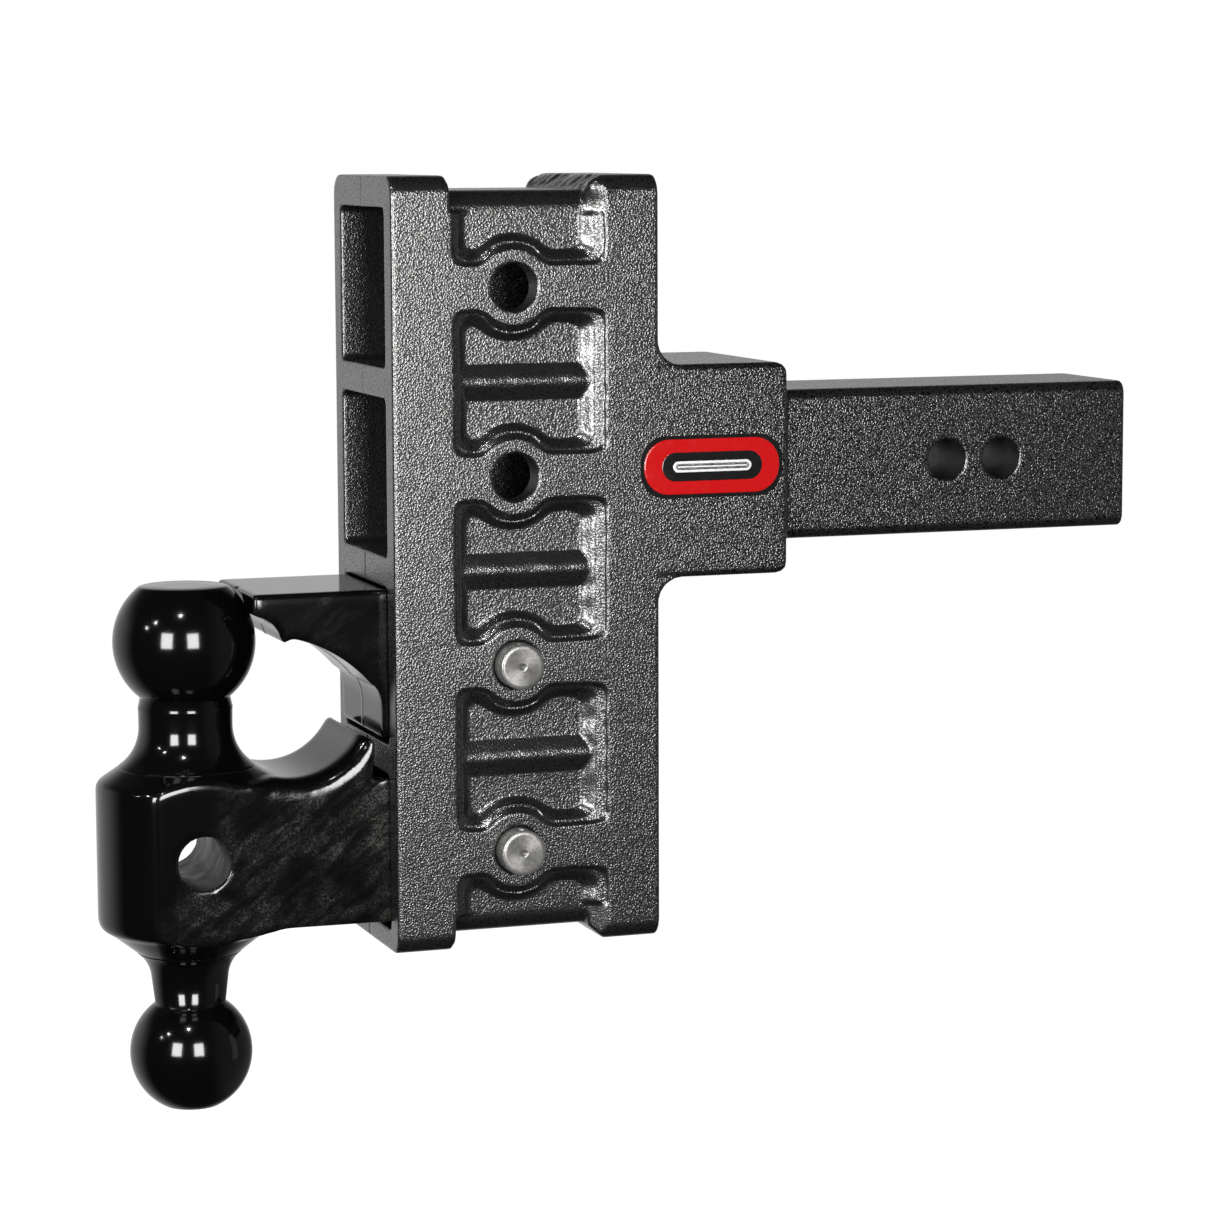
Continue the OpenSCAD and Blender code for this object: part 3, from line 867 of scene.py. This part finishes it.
def turned_pin(node):
    """A cross pin with a true round shaft, a rolled edge and a centre mark on its plain end."""
    ob = copy_of(node, f"{node}_turned", 0.5 * MM)
    co = soften(ob, 3)
    low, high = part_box(node)
    dx, dz = co[:, 0] - PIN_X, co[:, 2] - (low.z + high.z) / 2
    far = np.hypot(dx, dz)
    inset = np.clip(PIN_EDGE - (co[:, 1] - low.y), 0, PIN_EDGE)
    radius = PIN_R - PIN_EDGE + np.sqrt(PIN_EDGE ** 2 - inset ** 2)
    clip = MOUNTS[f"{node}_clip_hole"]
    shaft = (np.abs(far - PIN_R) < 0.7 * MM) & (co[:, 1] < SIDE_Y)
    shaft &= np.hypot(dx, co[:, 1] - clip.y) > CLIP_HOLE_R + 0.7 * MM
    co[shaft, 0] = PIN_X + dx[shaft] * radius[shaft] / far[shaft]
    co[shaft, 2] += dz[shaft] * (radius[shaft] / far[shaft] - 1)
    face = (co[:, 1] < low.y + CENTRE_MARK) & (far < PIN_R - PIN_EDGE)
    co[face, 1] = low.y + np.maximum(CENTRE_MARK - far[face], 0)
    put_points(ob, co)
    finish_piece(ob, "turned", node, [node])


# ---- carried-over CAD pieces ---------------------------------------------

def dress(node, finish):
    """Gives a CAD node its finish."""
    ob = frame["nodes"][node]
    ob.data.materials.clear()
    ob.data.materials.append(FINISH[finish])


# ---- camera, light, floor --------------------------------------------------

CAMERA_PLACE = (-0.6869, -1.5005, 0.1374)
CAMERA_TURN = (19.034, 7.13, 0.229)
LENS, SENSOR = 111.05, 36

LIGHT_AIM = Vector((BALL_X, 0, -0.1))
BOX_SIZE, BOX_POWER = (0.50, 0.66), 26
LAMP_SIZE = (0.035, 0.035)
LAMPS = [
    ((-0.70, -0.99, 1.14), 6.0),
    ((-1.59, -0.55, 0.79), 2.5),
    ((-1.81, -0.27, 0.54), 1.4),
]

WHITE_SIDE = (-0.25, 0.97, 0.0)
FLOOR_DROP = 0.10
FLOOR_RADIUS = 40


def set_camera():
    """Long lens from the front left, a little above; yaw, pitch and roll are in degrees."""
    data = bpy.data.cameras.new("camera")
    data.lens = LENS
    data.sensor_width = SENSOR
    data.clip_end = 60
    cam = new_object("camera", data)
    cam.location = CAMERA_PLACE
    yaw, pitch, roll = (math.radians(a) for a in CAMERA_TURN)
    look = Euler((math.pi / 2 - pitch, 0, -yaw), "XYZ").to_matrix()
    twist = Euler((0, 0, -roll), "XYZ").to_matrix()
    cam.rotation_euler = (look @ twist).to_euler()
    bpy.context.scene.camera = cam


def soft_box(name, place, size, power):
    """Rectangular light of a width and height, turned towards the ball mount."""
    data = bpy.data.lights.new(name, "AREA")
    data.shape = "RECTANGLE"
    data.size, data.size_y = size
    data.energy = power
    ob = new_object(name, data)
    ob.location = place
    ob.rotation_euler = (LIGHT_AIM - Vector(place)).to_track_quat("-Z", "Y").to_euler()


def set_lights():
    """Two soft boxes at the camera's height, a faint one at the right, three small lamps above."""
    soft_box("left_box", (-1.36, -1.20, 0.14), BOX_SIZE, BOX_POWER)
    soft_box("right_box", (-0.30, -1.59, 0.14), BOX_SIZE, BOX_POWER)
    soft_box("side_box", (0.92, -0.30, -0.15), (0.30, 0.80), 0.25)
    for i, (place, power) in enumerate(LAMPS):
        soft_box(f"lamp_{i}", place, LAMP_SIZE, power)


def set_world():
    """A studio room: white behind the object, dim at its right, dark in front.

    The camera itself sees plain white instead of the room.
    """
    world = bpy.data.worlds.new("studio")
    bpy.context.scene.world = world
    world.use_nodes = True
    nodes, links = world.node_tree.nodes, world.node_tree.links
    nodes.clear()
    place = nodes.new("ShaderNodeTexCoord").outputs["Generated"]
    split = nodes.new("ShaderNodeSeparateXYZ")
    links.new(place, split.inputs[0])

    def zone(value, start, end, low, high):
        """Smooth step from low at start to high at end."""
        node = nodes.new("ShaderNodeMapRange")
        node.interpolation_type = "SMOOTHSTEP"
        for name, number in (("From Min", start), ("From Max", end), ("To Min", low), ("To Max", high)):
            node.inputs[name].default_value = number
        links.new(value, node.inputs["Value"])
        return node.outputs["Result"]

    def multiply_add(a, b, c):
        node = nodes.new("ShaderNodeMath")
        node.operation = "MULTIPLY_ADD"
        for socket, value in zip(node.inputs, (a, b, c)):
            if isinstance(value, float):
                socket.default_value = value
            else:
                links.new(value, socket)
        return node.outputs[0]

    dot = nodes.new("ShaderNodeVectorMath")
    dot.operation = "DOT_PRODUCT"
    dot.inputs[1].default_value = WHITE_SIDE
    links.new(place, dot.inputs[0])
    behind = zone(dot.outputs["Value"], 0.42, 0.9, 0.0, 1.0)
    below_ceiling = zone(split.outputs["Z"], 0.15, 0.6, 0.9, 0.06)
    right = zone(split.outputs["X"], 0.35, 0.8, 0.03, 0.20)
    room = nodes.new("ShaderNodeBackground")
    links.new(multiply_add(behind, below_ceiling, right), room.inputs["Strength"])
    pale = nodes.new("ShaderNodeBackground")
    pale.inputs["Color"].default_value = (1, 1, 1, 1)
    rays = nodes.new("ShaderNodeLightPath")
    either = nodes.new("ShaderNodeMixShader")
    links.new(rays.outputs["Is Camera Ray"], either.inputs["Fac"])
    links.new(room.outputs[0], either.inputs[1])
    links.new(pale.outputs[0], either.inputs[2])
    out = nodes.new("ShaderNodeOutputWorld")
    links.new(either.outputs[0], out.inputs["Surface"])


def set_floor():
    """Wide, nearly white floor below the part, which throws no light back at it."""
    bm = bmesh.new()
    bmesh.ops.create_circle(bm, cap_ends=True, radius=FLOOR_RADIUS, segments=64)
    mesh = bpy.data.meshes.new("floor")
    bm.to_mesh(mesh)
    bm.free()
    floor = new_object("floor", mesh)
    floor.location.z = CAD_BOUNDS[0].z - FLOOR_DROP
    s = Shader("pale_floor")
    s.set(Base_Color=(0.30, 0.30, 0.30, 1), Roughness=1.0, Specular_IOR_Level=0.0,
          Emission_Color=(1, 1, 1, 1), Emission_Strength=0.975)
    floor.data.materials.append(s.material)
    floor.visible_glossy = False
    floor.visible_diffuse = False


set_camera()
set_world()
set_lights()
set_floor()
bpy.context.scene.view_settings.view_transform = "Standard"

cast_frame()
coated_shank()
ball_mount()
lock()
shank_weld()
badge()
turned_pin("upper_pin")
turned_pin("lower_pin")
dress("upper_pull_ring", "wire")
dress("lower_pull_ring", "wire")
dress("badge_base", "badge_black")
